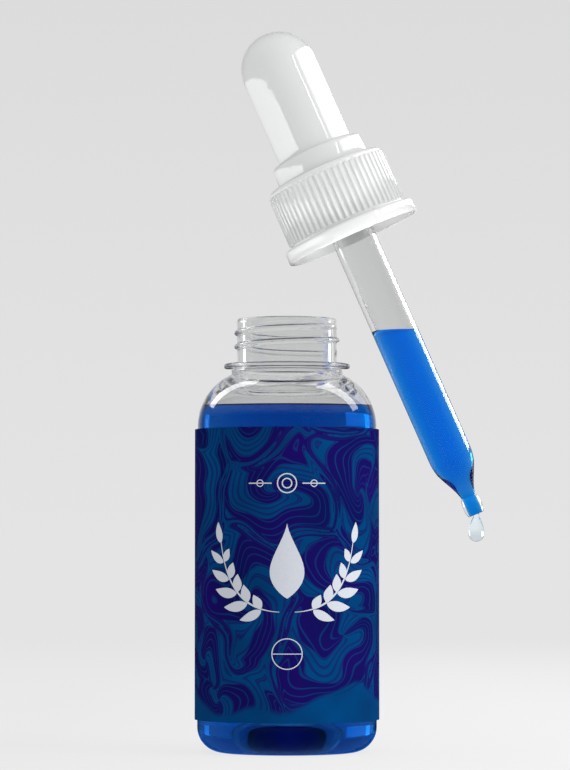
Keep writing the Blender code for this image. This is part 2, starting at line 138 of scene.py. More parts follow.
def smooth(share):
    """A smooth step: 0 below 0, 1 above 1."""
    share = min(1.0, max(0.0, share))
    return share * share * (3 - 2 * share)


def raise_thread(shape, wall, rise, top, turns):
    """Raises a right-hand thread on that wall, from its top end at +X down. A rise below 0 cuts it in."""
    for vert in shape.verts:
        radius = math.hypot(vert.co.x, vert.co.y)
        if abs(radius - wall) > WELD:
            continue
        turn = (-math.atan2(vert.co.y, vert.co.x) / (2 * math.pi)) % 1.0
        height = 0.0
        while turn <= turns:
            aside = abs(vert.co.z - top + THREAD_PITCH * turn)
            fade = smooth(min(turn, turns - turn) / THREAD_FADE_TURNS)
            height = max(height, fade * smooth((THREAD_HALF_WIDTH - aside) / THREAD_FLANK))
            turn += 1.0
        vert.co.x *= 1 + rise * height / wall
        vert.co.y *= 1 + rise * height / wall


def piece(name, shape, material, place=None):
    """Puts a finished shape in the scene, smooth but for its real edges, with its place in its mesh."""
    if place:
        bmesh.ops.transform(shape, matrix=place, verts=shape.verts)
    mesh = bpy.data.meshes.new(name)
    shape.to_mesh(mesh)
    shape.free()
    mesh.materials.append(material)
    mesh.shade_smooth()
    mesh.set_sharp_from_angle(angle=math.radians(SHARP_DEG))
    obj = bpy.data.objects.new(name, mesh)
    bpy.context.scene.collection.objects.link(obj)
    return obj


def finish_of(name, colour, roughness, **sockets):
    """A material of one Principled shader, with these further sockets set."""
    material = bpy.data.materials.new(name)
    material.use_nodes = True
    shader = material.node_tree.nodes["Principled BSDF"]
    shader.inputs["Base Color"].default_value = (*colour, 1.0)
    shader.inputs["Roughness"].default_value = roughness
    for socket, value in sockets.items():
        shader.inputs[socket.replace("_", " ")].default_value = value
    return material


def feed(material, socket, value):
    """Links a socket to this one, or sets this one to a value."""
    if isinstance(value, bpy.types.NodeSocket):
        material.node_tree.links.new(value, socket)
    else:
        socket.default_value = value


def add_node(material, kind, settings=None, **inputs):
    """Adds a shader node. An input is a socket to link from or a value."""
    node = material.node_tree.nodes.new("ShaderNode" + kind)
    for setting, value in (settings or {}).items():
        setattr(node, setting, value)
    for socket, value in inputs.items():
        feed(material, node.inputs[socket.replace("_", " ")], value)
    return node


def set_shader(material, socket, source):
    """Links a socket to the material's Principled shader."""
    feed(material, material.node_tree.nodes["Principled BSDF"].inputs[socket], source)


def patches(material, per_metre, detail=3.0, stretch=(1, 1, 1)):
    """A noise fixed to the piece, with about that many patches in a metre."""
    place = add_node(material, "TexCoord").outputs["Object"]
    turned_place = add_node(material, "Mapping", Vector=place, Scale=stretch).outputs["Vector"]
    return add_node(material, "TexNoise", Vector=turned_place, Scale=per_metre, Detail=detail).outputs["Fac"]


def along(material, value, start, end, low=0.0, high=1.0, soft=False):
    """A value from start to end, as a number from low to high, in a straight line or with soft ends."""
    settings = {"interpolation_type": "SMOOTHSTEP" if soft else "LINEAR"}
    limits = {"From_Min": start, "From_Max": end, "To_Min": low, "To_Max": high}
    return add_node(material, "MapRange", settings, Value=value, **limits).outputs["Result"]


def ranged(material, factor, low, high):
    """A noise factor, which is mostly 0.3 to 0.7, as a number from low to high."""
    return along(material, factor, 0.3, 0.7, low, high)


def place_on(material, axis):
    """Where a point of the piece is along one axis, in metres."""
    place = add_node(material, "TexCoord").outputs["Object"]
    return add_node(material, "SeparateXYZ", Vector=place).outputs[axis]


def blended(material, factor, first, second):
    """A colour between two, each a socket or a linear colour."""
    node = add_node(material, "Mix", {"data_type": "RGBA"})
    for socket, value in zip(("Factor", 6, 7), (factor, first, second)):
        feed(material, node.inputs[socket], (*value, 1.0) if isinstance(value, tuple) else value)
    return node.outputs[2]


def relief(material, *layers):
    """Bumps the surface by noise layers, each (factor, height in metres), one on another."""
    below = {}
    for factor, height in layers:
        bump = add_node(material, "Bump", Height=factor, Distance=height, **below)
        below = {"Normal": bump.outputs["Normal"]}
    set_shader(material, "Normal", below["Normal"])


def dome_points():
    """The floor's push-up from the axis out to its foot, as (radius, rise)."""
    points = [(0.0, FLOOR_DOME_RISE)]
    for i in range(FLOOR_DOME_STEPS + 1):
        radius = FLOOR_DOME_FLAT + (FLOOR_DOME_RADIUS - FLOOR_DOME_FLAT) * i / FLOOR_DOME_STEPS
        points.append((radius, FLOOR_DOME_RISE * (1 - smooth(i / FLOOR_DOME_STEPS))))
    return points


def inner_floor(sink):
    """The inner floor and heel, from the axis out and up the wall, set into the plastic by the sink."""
    valley = FLOOR_THICKNESS - sink
    heel = HEEL_RADIUS - BODY_WALL + sink
    points = [(radius, valley + rise) for radius, rise in dome_points()]
    points += arc(BODY_RADIUS - HEEL_RADIUS, valley + heel, heel, -90, 0, 12)
    return points + [(points[-1][0], points[-1][1] + EDGE_ROW), (points[-1][0], SHOULDER_START - EDGE_ROW)]


def inner_shoulder(sink, end_share, steps):
    """The inside of the thickening shoulder, from the straight wall up; share 1 meets the bore."""
    corner = math.acos((BORE_RADIUS - shoulder_centre) / (shoulder_radius - SHOULDER_TOP_WALL))
    points = []
    for i in range(steps + 1):
        share = end_share * i / steps
        reach = shoulder_radius - BODY_WALL + sink - (SHOULDER_TOP_WALL - BODY_WALL) * share**2
        angle = corner * share
        points.append((shoulder_centre + reach * math.cos(angle), SHOULDER_START + reach * math.sin(angle)))
    return points


def bottle_section():
    """Inner floor, inner wall, bore and rim, then the threaded neck, bead, ring, shoulder, wall and foot."""
    shoulder = inner_shoulder(0.0, 1.0, 24)
    section = inner_floor(0.0) + shoulder[:-1] + [(*shoulder[-1], RIM_ROUNDING)]
    section += [(BORE_RADIUS, RING_FOOT), (BORE_RADIUS, RIM_TOP - EDGE_ROW)]
    section += [(BORE_RADIUS, RIM_TOP, RIM_ROUNDING), (NECK_RADIUS, RIM_TOP, RIM_ROUNDING)]
    section += rows(NECK_RADIUS, RIM_TOP - 2 * RIM_ROUNDING, RING_TOP + SMALL_ROUNDING, THREAD_ROW)
    section += [(NECK_RADIUS, RING_TOP, SMALL_ROUNDING / 2)]
    section += [(RING_RADIUS, RING_TOP, RING_ROUNDING), (RING_RADIUS, RING_FOOT, RING_ROUNDING)]
    section += [(GROOVE_RADIUS, height, SMALL_ROUNDING / 2) for height in (RING_FOOT, ROOT_BEAD_TOP)]
    section += [(ROOT_BEAD_RADIUS, ROOT_BEAD_TOP, SMALL_ROUNDING)]
    section += [(ROOT_BEAD_RADIUS, SHOULDER_START + SHOULDER_RISE, SMALL_ROUNDING)]
    sweep_deg = math.degrees(math.acos((shoulder_radius - SHOULDER_INSET) / shoulder_radius))
    section += arc(shoulder_centre, SHOULDER_START, shoulder_radius, sweep_deg, 0, 28)
    section += [(BODY_RADIUS, SHOULDER_START - EDGE_ROW), (BODY_RADIUS, HEEL_RADIUS + EDGE_ROW)]
    section += arc(BODY_RADIUS - HEEL_RADIUS, HEEL_RADIUS, HEEL_RADIUS, 0, -90, 16)
    return section + dome_points()[::-1]


clear_plastic = finish_of(
    "clear_plastic",
    (0.865, 0.87, 0.87),
    0.03,
    Transmission_Weight=1.0,
    IOR=1.54,
    Specular_Tint=(0.1, 0.1, 0.1, 1.0),
)
ripple = patches(clear_plastic, 170, 1.0, (1, 1, 0.6))
haze = patches(clear_plastic, 900, 5.0)
set_shader(clear_plastic, "Roughness", ranged(clear_plastic, haze, 0.01, 0.05))
relief(clear_plastic, (ripple, 0.00008))
above_oil = along(clear_plastic, place_on(clear_plastic, "Z"), WET_WALL_TOP, DRY_WALL_FOOT)
wall_gloss = blended(clear_plastic, above_oil, (0.1, 0.1, 0.1), (1.0, 1.0, 1.0))
set_shader(clear_plastic, "Specular Tint", wall_gloss)

shape = turned(bottle_section(), BOTTLE_STEPS)
raise_thread(shape, NECK_RADIUS, NECK_THREAD_RISE, NECK_THREAD_TOP, NECK_THREAD_TURNS)
bottle = piece("bottle_body", shape, clear_plastic)
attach(bottle, "bottle")
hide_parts("bottle")

# Oil in the bottle: a deep blue liquid, filled to just above the wall's top. It wets the plastic, so that
# its surface climbs a little all round, and it is sunk a hair into the wall, as no air shows between them.
OIL_SHOULDER_SHARE = 0.295
OIL_SINK = 0.00003
MENISCUS_RISE = 0.0004
MENISCUS_WIDTH = 0.0012
MENISCUS_STEPS = 8


def soaked(material, colour, per_metre):
    """Gives a clear liquid its colour by depth: the colour is what a metre over the density lets through."""
    absorption = add_node(material, "VolumeAbsorption", Color=(*colour, 1.0), Density=per_metre)
    output = material.node_tree.nodes["Material Output"]
    feed(material, output.inputs["Volume"], absorption.outputs["Volume"])


clear_oil = {"Transmission_Weight": 1.0, "IOR": 1.47, "Specular_Tint": (0, 0, 0, 1)}
deep_oil = finish_of("deep_blue_oil", (0.85, 0.95, 1.0), 0.0, **clear_oil)
swirl = patches(deep_oil, 60, 2.0, (1, 1, 0.3))
set_shader(deep_oil, "Base Color", blended(deep_oil, swirl, (0.82, 0.93, 1.0), (0.98, 1.0, 1.0)))
soaked(deep_oil, (0.0, 0.59, 0.87), 235)

wetted = inner_floor(OIL_SINK) + inner_shoulder(OIL_SINK, OIL_SHOULDER_SHARE, 8)
wet_radius, wet_height = wetted[-1]
surface = []
for i in range(1, MENISCUS_STEPS + 1):
    aside = i / MENISCUS_STEPS
    climb = MENISCUS_RISE * (1 - aside) ** 2
    surface.append((wet_radius - MENISCUS_WIDTH * aside, wet_height - MENISCUS_RISE + climb))
surface += [(wet_radius / 2, surface[-1][1]), (0.0, surface[-1][1])]
bottle_oil = piece("bottle_oil_fill", turned(wetted + surface, BOTTLE_STEPS), deep_oil)
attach(bottle_oil, "bottle")
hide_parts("bottle_oil")

# Label: a satin film printed all over in deep blue, wrapped once round the wall, with a short gap at the
# back. The pattern is generic: ripples that spread from many points and run together. The film's back is
# white, with a painted glow in place of the light that the film lets through, most at the foot and the top.
LABEL_RADIUS = 0.0156
LABEL_THICKNESS = 0.00025
LABEL_FOOT = 0.0056
LABEL_TOP = 0.0553
LABEL_SEAM = 0.0020
LABEL_STEPS = 240
LABEL_ROW = 0.005
DRIFT_PER_MM = 0.07
DRIFT_MM = 16.0
EYES_PER_MM = 0.06
RIPPLE_MM = 6.5
SPIRAL_ARMS = 2.0
STRANDS = 6.0
FURROW_START = 0.35
FURROW_DEPTH = 0.75
HAIRLINE_START = 0.75
HAIRLINE_DEPTH = 0.6
PLAIN_FOOT_MM = 4.5
FOOT_GLOW = 0.5
BACK_GLOW = 0.1
TOP_GLOW = 0.3
FOOT_GLOW_HEIGHTS = (0.014, 0.026)
TOP_GLOW_HEIGHTS = (0.032, 0.044)

label_outer = LABEL_RADIUS + LABEL_THICKNESS
seam_angle = LABEL_SEAM / LABEL_RADIUS
wrap_angle = 2 * math.pi - seam_angle
wrap_mm = 1000 * wrap_angle * label_outer
label_mm = 1000 * (LABEL_TOP - LABEL_FOOT)


def srgb(*levels):
    """A colour as it is seen, 0 to 255, as linear light."""
    shares = [level / 255 for level in levels]
    return tuple(share / 12.92 if share <= 0.0404 else ((share + 0.055) / 1.055) ** 2.4 for share in shares)


def worked(material, operation, *values, clamp=False):
    """The result of a Math node on sockets and numbers."""
    node = add_node(material, "Math", {"operation": operation, "use_clamp": clamp})
    for socket, value in zip(node.inputs, values):
        feed(material, socket, value)
    return node.outputs["Value"]


def lead(material, first, second, slope):
    """How far the first value is over the second, times the slope, held to 0 to 1."""
    return worked(material, "MULTIPLY", worked(material, "SUBTRACT", first, second), slope, clamp=True)


def moved(material, operation, first, second=None, output="Vector", **inputs):
    """The result of a vector node on a place and a second place, which is a socket or numbers."""
    node = add_node(material, "VectorMath", {"operation": operation}, Vector=first, **inputs)
    if second is not None:
        feed(material, node.inputs[1], second)
    return node.outputs[output]


def flat_noise(per_mm, detail=1.0, output="Fac"):
    """A noise over the flat label, with about that many patches in a millimetre."""
    return add_node(film, "TexNoise", Vector=flat_mm, Scale=per_mm, Detail=detail).outputs[output]


film = finish_of("printed_film", srgb(14, 30, 95), 0.5, IOR=1.03)
flat_place = add_node(film, "TexCoord").outputs["UV"]
flat_mm = add_node(film, "Mapping", Vector=flat_place, Scale=(wrap_mm, label_mm, 1)).outputs["Vector"]
drift = moved(film, "SUBTRACT", flat_noise(DRIFT_PER_MM, output="Color"), (0.5, 0.5, 0.5))
drift_mm = moved(film, "SCALE", drift, Scale=DRIFT_MM)
bent_mm = moved(film, "ADD", flat_mm, drift_mm)
eyes = add_node(
    film,
    "TexVoronoi",
    {"voronoi_dimensions": "2D", "feature": "SMOOTH_F1"},
    Vector=bent_mm,
    Scale=EYES_PER_MM,
    Smoothness=0.3,
    Randomness=0.85,
)
from_eye = moved(film, "SUBTRACT", bent_mm, eyes.outputs["Position"])
reach_mm = moved(film, "LENGTH", from_eye, output="Value")
aside = add_node(film, "SeparateXYZ", Vector=from_eye)
bearing = worked(film, "ARCTAN2", aside.outputs["Y"], aside.outputs["X"])
turning = worked(film, "MULTIPLY", reach_mm, 2 * math.pi / RIPPLE_MM)
turning = worked(film, "ADD", turning, worked(film, "MULTIPLY", bearing, SPIRAL_ARMS))
arm = worked(film, "ADD", worked(film, "SINE", turning), ranged(film, flat_noise(0.09), -0.9, 0.9))
arm = worked(film, "MULTIPLY", arm, 4.0, clamp=True)
strand = worked(film, "SINE", worked(film, "MULTIPLY", turning, STRANDS))
furrow = worked(film, "MULTIPLY", lead(film, strand, FURROW_START, 3.0), FURROW_DEPTH)
hairline = worked(film, "MULTIPLY", lead(film, strand, HAIRLINE_START, 4.0), HAIRLINE_DEPTH)
wave = worked(film, "MULTIPLY", arm, worked(film, "SUBTRACT", 1.0, furrow))
wave = worked(film, "MAXIMUM", wave, hairline)
height_mm = add_node(film, "SeparateXYZ", Vector=bent_mm).outputs["Y"]
line = worked(film, "MAXIMUM", wave, lead(film, PLAIN_FOOT_MM, height_mm, 0.8))
ground = blended(film, ranged(film, flat_noise(0.07), 0, 1), srgb(14, 18, 84), srgb(28, 12, 100))
teal = blended(film, ranged(film, flat_noise(0.1, 2.0), 0, 1), srgb(4, 56, 106), srgb(2, 70, 128))
set_shader(film, "Base Color", blended(film, line, ground, teal))
grain = patches(film, 2500, 3.0)
set_shader(film, "Roughness", ranged(film, grain, 0.45, 0.58))
relief(film, (line, 0.000006), (grain, 0.000004))

# Painted glow: the film's white back emits light, in place of the light let through the film.
painted_back_glow = {"Emission_Color": (0.7, 0.85, 1.0, 1.0), "Emission_Strength": FOOT_GLOW}
back = finish_of("label_back", (0.72, 0.73, 0.74), 0.6, IOR=1.3, **painted_back_glow)
fibre = patches(back, 1800, 3.0)
set_shader(back, "Base Color", blended(back, fibre, (0.68, 0.69, 0.70), (0.76, 0.77, 0.78)))
back_height = place_on(back, "Z")
# The painted glow is strongest at the foot, faint up the back, and rises again near the top.
foot_glow = along(back, back_height, *FOOT_GLOW_HEIGHTS, FOOT_GLOW, BACK_GLOW, soft=True)
top_glow = along(back, back_height, *TOP_GLOW_HEIGHTS, 0.0, TOP_GLOW, soft=True)
set_shader(back, "Emission Strength", worked(back, "ADD", foot_glow, top_glow))


def wrap_uv(shape):
    """Lays the label out flat on its UV map: across from end to end, and up."""
    layer = shape.loops.layers.uv.new("wrap")
    for face in shape.faces:
        middle = face.calc_center_median()
        face_turn = (math.atan2(middle.y, middle.x) - math.pi / 2 - seam_angle / 2) % (2 * math.pi)
        for loop in face.loops:
            point = loop.vert.co
            turn = (math.atan2(point.y, point.x) - math.pi / 2 - seam_angle / 2) % (2 * math.pi)
            if turn - face_turn > math.pi:
                turn -= 2 * math.pi
            elif face_turn - turn > math.pi:
                turn += 2 * math.pi
            loop[layer].uv = (turn / wrap_angle, (point.z - LABEL_FOOT) / (LABEL_TOP - LABEL_FOOT))


shape = turned(rows(LABEL_RADIUS, LABEL_TOP, LABEL_FOOT, LABEL_ROW), LABEL_STEPS, angle=wrap_angle)
bmesh.ops.rotate(shape, matrix=Matrix.Rotation(math.pi / 2 + seam_angle / 2, 3, "Z"), verts=shape.verts)
first_face = shape.faces[:][0]
if first_face.normal.dot(first_face.calc_center_median()) < 0:
    bmesh.ops.reverse_faces(shape, faces=shape.faces)
bmesh.ops.solidify(shape, geom=shape.faces, thickness=-LABEL_THICKNESS)
bmesh.ops.recalc_face_normals(shape, faces=shape.faces)
wrap_uv(shape)
label = piece("bottle_label_wrap", shape, film)
label.data.materials.append(back)
for face in label.data.polygons:
    if math.hypot(face.center.x, face.center.y) < LABEL_RADIUS + LABEL_THICKNESS / 4:
        face.material_index = 1
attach(label, "bottle")
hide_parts("bottle_label")

# White print: a screened ink that stands a hair proud of the label. Generic ornament only: a drop between
# two leafy sprigs, rings and two short rules above it, and a divided circle below.
INK_THICKNESS = 0.00003
INK_STEP = 0.001
INK_CUTS = 16
MM = 0.001
CIRCLE_STEPS = 40
RULE_HEIGHT = 0.0458
ORNAMENT_HEIGHT = 0.0322
ROUNDEL_HEIGHT = 0.0172
DROP_MARK_TOP = 6.8
DROP_MARK_STEP = 0.33
DROP_MARK_STEPS = 38
DROP_MARK_HALF_WIDTH = 2.9
LEAF_STEPS = 15
LEAF_BEND_DEG = 24
LEAF_SPREAD_DEG = 40
LEAF_WIDTH_SHARE = 0.36
INNER_LEAF_SHARE = 0.62
STEM_BENDS = ((1.3, -8.0), (10.4, -7.6), (12.3, 3.6))
STEM_STEPS = 24
LEAVES = ((4, 4.3), (8, 4.8), (12, 4.8), (16, 4.4), (20, 3.8))
RULE_POINTS = (2.6, 3.4, 4.2, 5.0, 5.8, 6.6)
RULE_EYE = (4.6, 0.55)
RING_RADII = (1.6, 0.8)
ROUNDEL_RADIUS = 2.55
ROUNDEL_POINTS = (-2.5, -1.25, 0, 1.25, 2.5)


def stroke(shape, points, half_widths):
    """Draws an ink line on the flat label, in X and Z, by pulling its first edge along the points."""
    edge = None
    for i, (across, up) in enumerate(points):
        before, after = points[max(i - 1, 0)], points[min(i + 1, len(points) - 1)]
        heading = Vector((after[0] - before[0], 0.0, after[1] - before[1])).normalized()
        aside = Vector((-heading.z, 0.0, heading.x)) * half_widths[i]
        middle = Vector((across, 0.0, up))
        if edge is None:
            edge = shape.edges.new((shape.verts.new(middle - aside), shape.verts.new(middle + aside)))
            ends = list(edge.verts)
            continue
        made = bmesh.ops.extrude_edge_only(shape, edges=[edge])["geom"]
        edge = next(item for item in made if isinstance(item, bmesh.types.BMEdge))
        if (edge.verts[0].co - ends[0].co).length < (edge.verts[1].co - ends[0].co).length:
            ends = [edge.verts[0], edge.verts[1]]
        else:
            ends = [edge.verts[1], edge.verts[0]]
        ends[0].co, ends[1].co = middle - aside, middle + aside


def tapered(count, start, middle, end, peak_share=0.35):
    """Half widths along a stroke, in millimetres at its start, at its widest and at its end."""
    widths = []
    for i in range(count):
        share = i / (count - 1)
        if share < peak_share:
            width = start + (middle - start) * smooth(share / peak_share)
        else:
            width = middle + (end - middle) * smooth((share - peak_share) / (1 - peak_share))
        widths.append(width * MM)
    return widths


def lifted(points, height):
    """The points, moved up the label."""
    return [(across, up + height) for across, up in points]


def draw_ring(shape, across, radius, height, half_width, side=1):
    """A thin ring, in millimetres from the label's middle line; side -1 mirrors it."""
    points = []
    for i in range(CIRCLE_STEPS + 1):
        angle = math.radians(360 * (i / CIRCLE_STEPS))
        points.append((side * (across + radius * math.cos(angle)) * MM, radius * math.sin(angle) * MM))
    stroke(shape, lifted(points, height), [half_width * MM] * len(points))


def draw_leaf(shape, root, bearing_deg, length, width, side):
    """A lens-shaped leaf that bends a little, from its root; side -1 mirrors it."""
    points, half_widths = [], []
    across, up = root
    for i in range(LEAF_STEPS + 1):
        share = i / LEAF_STEPS
        points.append((side * across * MM, up * MM))
        half_widths.append(0.5 * width * MM * math.sin(math.pi * share**0.8) ** 0.9 + 0.01 * MM)
        angle = math.radians(bearing_deg + LEAF_BEND_DEG * (share - 0.5))
        across += length / LEAF_STEPS * math.cos(angle)
        up += length / LEAF_STEPS * math.sin(angle)
    stroke(shape, lifted(points, ORNAMENT_HEIGHT), half_widths)


def draw_drop(shape):
    """A drop, drawn from its tip down."""
    points, half_widths = [], []
    for i in range(DROP_MARK_STEPS + 1):
        share = i / DROP_MARK_STEPS
        points.append((0.0, (DROP_MARK_TOP - DROP_MARK_STEP * i) * MM))
        half_widths.append(DROP_MARK_HALF_WIDTH * MM * math.sin(math.pi * share**1.6) ** 0.85 + 0.02 * MM)
    stroke(shape, lifted(points, ORNAMENT_HEIGHT), half_widths)


def draw_sprig(shape, side):
    """A leafy sprig whose stem bends from below the drop out and up; side -1 mirrors it."""
    stem, bearings = [], []
    for i in range(STEM_STEPS + 1):
        share = i / STEM_STEPS
        parts = ((1 - share) ** 2, 2 * share * (1 - share), share**2)
        pulls = list(zip(parts, STEM_BENDS))
        stem.append(tuple(sum(part * bend[axis] for part, bend in pulls) for axis in (0, 1)))
    for before, after in zip(stem, stem[1:] + [stem[-1]]):
        bearings.append(math.degrees(math.atan2(after[1] - before[1], after[0] - before[0])))
    placed = [(side * across * MM, up * MM) for across, up in stem]
    stroke(shape, lifted(placed, ORNAMENT_HEIGHT), tapered(STEM_STEPS + 1, 0.05, 0.16, 0.08))
    for i, length in LEAVES:
        for turn, share in ((1, INNER_LEAF_SHARE), (-1, 1.0)):
            bearing_deg = bearings[i] + LEAF_SPREAD_DEG * turn
            outwards = [math.sin(math.radians(bearing_deg + 90 * (1 - axis))) for axis in (0, 1)]
            root = [stem[i][axis] + 0.3 * outwards[axis] for axis in (0, 1)]
            draw_leaf(shape, root, bearing_deg, length * share, LEAF_WIDTH_SHARE * length, side)
    draw_leaf(shape, stem[STEM_STEPS], bearings[STEM_STEPS - 1], 3.6, 1.5, side)


def draw_rule(shape):
    """Two thin rules, each with a small ring on it, and two rings between them."""
    for side in (1, -1):
        points = [(side * across * MM, RULE_HEIGHT) for across in RULE_POINTS]
        stroke(shape, points, [0.09 * MM] * len(points))
        draw_ring(shape, *RULE_EYE, RULE_HEIGHT, 0.07, side)
    for radius in RING_RADII:
        draw_ring(shape, 0.0, radius, RULE_HEIGHT, 0.1)


def draw_roundel(shape):
    """A thin circle with a line across its middle."""
    draw_ring(shape, 0.0, ROUNDEL_RADIUS, ROUNDEL_HEIGHT, 0.08)
    points = [(across * MM, ROUNDEL_HEIGHT) for across in ROUNDEL_POINTS]
    stroke(shape, points, [0.07 * MM] * len(points))


white_ink = finish_of("white_ink", srgb(212, 216, 224), 0.5, IOR=1.06)
ink_grain = patches(white_ink, 3000, 3.0)
set_shader(white_ink, "Base Color", blended(white_ink, ink_grain, srgb(206, 210, 220), srgb(218, 221, 228)))
relief(white_ink, (ink_grain, 0.000005))

shape = bmesh.new()
draw_drop(shape)
for side in (1, -1):
    draw_sprig(shape, side)
draw_rule(shape)
draw_roundel(shape)
for cut in range(-INK_CUTS, INK_CUTS + 1):
    everything = shape.verts[:] + shape.edges[:] + shape.faces[:]
    bmesh.ops.bisect_plane(shape, geom=everything, plane_co=(cut * INK_STEP, 0, 0), plane_no=(1, 0, 0))
front = bmesh.ops.extrude_face_region(shape, geom=shape.faces[:], use_keep_orig=True)["geom"]
front = {item for item in front if isinstance(item, bmesh.types.BMVert)}
for vert in shape.verts:
    around = vert.co.x / label_outer
    reach = label_outer + INK_THICKNESS if vert in front else label_outer
    vert.co = (reach * math.sin(around), -reach * math.cos(around), vert.co.z)
bmesh.ops.recalc_face_normals(shape, faces=shape.faces)
ink = piece("label_white_print", shape, white_ink)
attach(ink, "bottle")

# Pipette: drawn glass tube with a flared top that clips in the bulb. Its end is heated and drawn down to a
# narrow nozzle, with a round bead at the mouth.
DROPPER_TILT_DEG = 23.8
DROPPER_FOOT = (0.0116, 0.0, 0.0883)
PIPETTE_RADIUS = 0.00383
PIPETTE_BORE = 0.00283
PIPETTE_TOP = 0.0189
FLARE_RADIUS = 0.00443
FLARE_FOOT = 0.0168
FLARE_TOP = 0.0177
TAPER_TOP = -0.0419
TAPER_FOOT = -0.0487
TAPER_ROUNDING = 0.0012
TAPER_STEPS = 20
ROUNDED_STEPS = 4
MOUTH = -0.0520
NOZZLE_RADIUS = 0.00125
NOZZLE_BORE = 0.0008
BEAD_RADIUS = 0.0017
BARREL_ROW = 0.0008
COLUMN_LEVEL = 0.07247
WET_EDGE = 0.0006
PIPETTE_STEPS = 160

dropper_place = Matrix.Translation(DROPPER_FOOT) @ Matrix.Rotation(-math.radians(DROPPER_TILT_DEG), 4, "Y")


def eased(share):
    """A rise from 0 to 1 that is half a straight slope and half a smooth step."""
    return (share + (1 - math.cos(math.pi * share)) / 2) / 2


def bore_section(sink):
    """The inside of the glass, from its mouth up through the nozzle and the taper to the straight bore."""
    points = [(NOZZLE_BORE + sink, MOUTH)]
    for i in range(TAPER_STEPS + 1):
        radius = NOZZLE_BORE + (PIPETTE_BORE - NOZZLE_BORE) * eased(i / TAPER_STEPS)
        points.append((radius + sink, TAPER_FOOT + (TAPER_TOP - TAPER_FOOT) * i / TAPER_STEPS))
    return points


def pipette_section():
    """The lip, the flare, the barrel, the taper and the bead, then the bore back up."""
    section = [(PIPETTE_BORE, PIPETTE_TOP, SMALL_ROUNDING), (PIPETTE_RADIUS, PIPETTE_TOP, SMALL_ROUNDING)]
    section += [(PIPETTE_RADIUS, FLARE_TOP), (FLARE_RADIUS, (FLARE_TOP + FLARE_FOOT) / 2, SMALL_ROUNDING)]
    section += [(FLARE_RADIUS, FLARE_FOOT, SMALL_ROUNDING)]
    section += rows(PIPETTE_RADIUS, FLARE_FOOT, TAPER_TOP + 2 * TAPER_ROUNDING, BARREL_ROW)
    section += [(PIPETTE_RADIUS, TAPER_TOP, TAPER_ROUNDING)]
    for i in range(ROUNDED_STEPS, TAPER_STEPS):
        radius = PIPETTE_RADIUS - (PIPETTE_RADIUS - NOZZLE_RADIUS) * eased(i / TAPER_STEPS)
        section.append((radius, TAPER_TOP - (TAPER_TOP - TAPER_FOOT) * i / TAPER_STEPS))
    for i in range(TAPER_STEPS + 1):
        angle = math.pi * i / TAPER_STEPS
        swell = (BEAD_RADIUS - NOZZLE_RADIUS) * math.sin(angle)
        section.append((NOZZLE_RADIUS + swell, MOUTH + (TAPER_FOOT - MOUTH) * (1 + math.cos(angle)) / 2))
    section += bore_section(0.0)
    return section + rows(PIPETTE_BORE, TAPER_TOP + BARREL_ROW, PIPETTE_TOP - BARREL_ROW, BARREL_ROW)


wet_gloss, dry_gloss = (0.12, 0.12, 0.12), (0.3, 0.3, 0.3)
clear_glass = finish_of(
    "clear_glass", (0.95, 0.95, 0.95), 0.0, Transmission_Weight=1.0, IOR=1.5, Specular_Tint=(*dry_gloss, 1.0)
)
# Painted shade: the glass above the oil is painted greyer than the wetted glass below it.
dry = along(clear_glass, place_on(clear_glass, "Z"), COLUMN_LEVEL - WET_EDGE, COLUMN_LEVEL)
painted_dry_grey = blended(clear_glass, dry, (0.99, 0.99, 0.99), (0.86, 0.865, 0.865))
set_shader(clear_glass, "Base Color", painted_dry_grey)
set_shader(clear_glass, "Specular Tint", blended(clear_glass, dry, wet_gloss, dry_gloss))
smear = patches(clear_glass, 500, 4.0, (1, 1, 0.3))
set_shader(clear_glass, "Roughness", ranged(clear_glass, smear, 0.0, 0.02))

glass_shape = turned(pipette_section(), PIPETTE_STEPS, closed=True)
pipette = piece("pipette_glass", glass_shape, clear_glass, dropper_place)
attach(pipette, "dropper")
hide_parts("pipette")

# Oil in the pipette: the same liquid in a thinner column, drawn up from the bottle. It fills the bore down
# to the mouth, and its surface stays level in the leaning tube.
COLUMN_TOP = -0.0100
COLUMN_SINK = 0.00004
COLUMN_DISH = 0.00008
COLUMN_RIM = 0.0004
TIP_DEEP_HEIGHT = 0.0440
TIP_PALE_HEIGHT = 0.0500

bright_oil = finish_of("bright_blue_oil", (0.9, 0.97, 1.0), 0.0, **clear_oil)
thread_of_oil = patches(bright_oil, 300, 2.0, (1, 1, 0.3))
in_tip = along(bright_oil, place_on(bright_oil, "Z"), TIP_DEEP_HEIGHT, TIP_PALE_HEIGHT)
barrel_colour = blended(bright_oil, thread_of_oil, (0.88, 0.96, 0.97), (1.0, 1.0, 0.99))
set_shader(bright_oil, "Base Color", blended(bright_oil, in_tip, (0.03, 0.40, 0.84), barrel_colour))
soaked(bright_oil, (0.0, 0.68, 0.975), 980)

section = [(0.0, MOUTH)] + bore_section(COLUMN_SINK)
section += rows(PIPETTE_BORE + COLUMN_SINK, TAPER_TOP + BARREL_ROW, COLUMN_TOP, BARREL_ROW)
section += [(0.0, COLUMN_TOP)]
shape = turned(section, PIPETTE_STEPS)
bmesh.ops.transform(shape, matrix=dropper_place, verts=shape.verts)
everything = shape.verts[:] + shape.edges[:] + shape.faces[:]
bmesh.ops.bisect_plane(
    shape, geom=everything, plane_co=(0, 0, COLUMN_LEVEL), plane_no=(0, 0, 1), clear_outer=True
)
open_edges = [edge for edge in shape.edges if edge.is_boundary]
level = bmesh.ops.contextual_create(shape, geom=open_edges)["faces"]
bmesh.ops.inset_region(shape, faces=level, thickness=COLUMN_RIM)
bmesh.ops.translate(shape, vec=(0, 0, -COLUMN_DISH), verts=level[0].verts[:])
bmesh.ops.recalc_face_normals(shape, faces=shape.faces)
pipette_oil = piece("pipette_oil_column", shape, bright_oil)
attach(pipette_oil, "dropper")
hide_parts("pipette_oil")

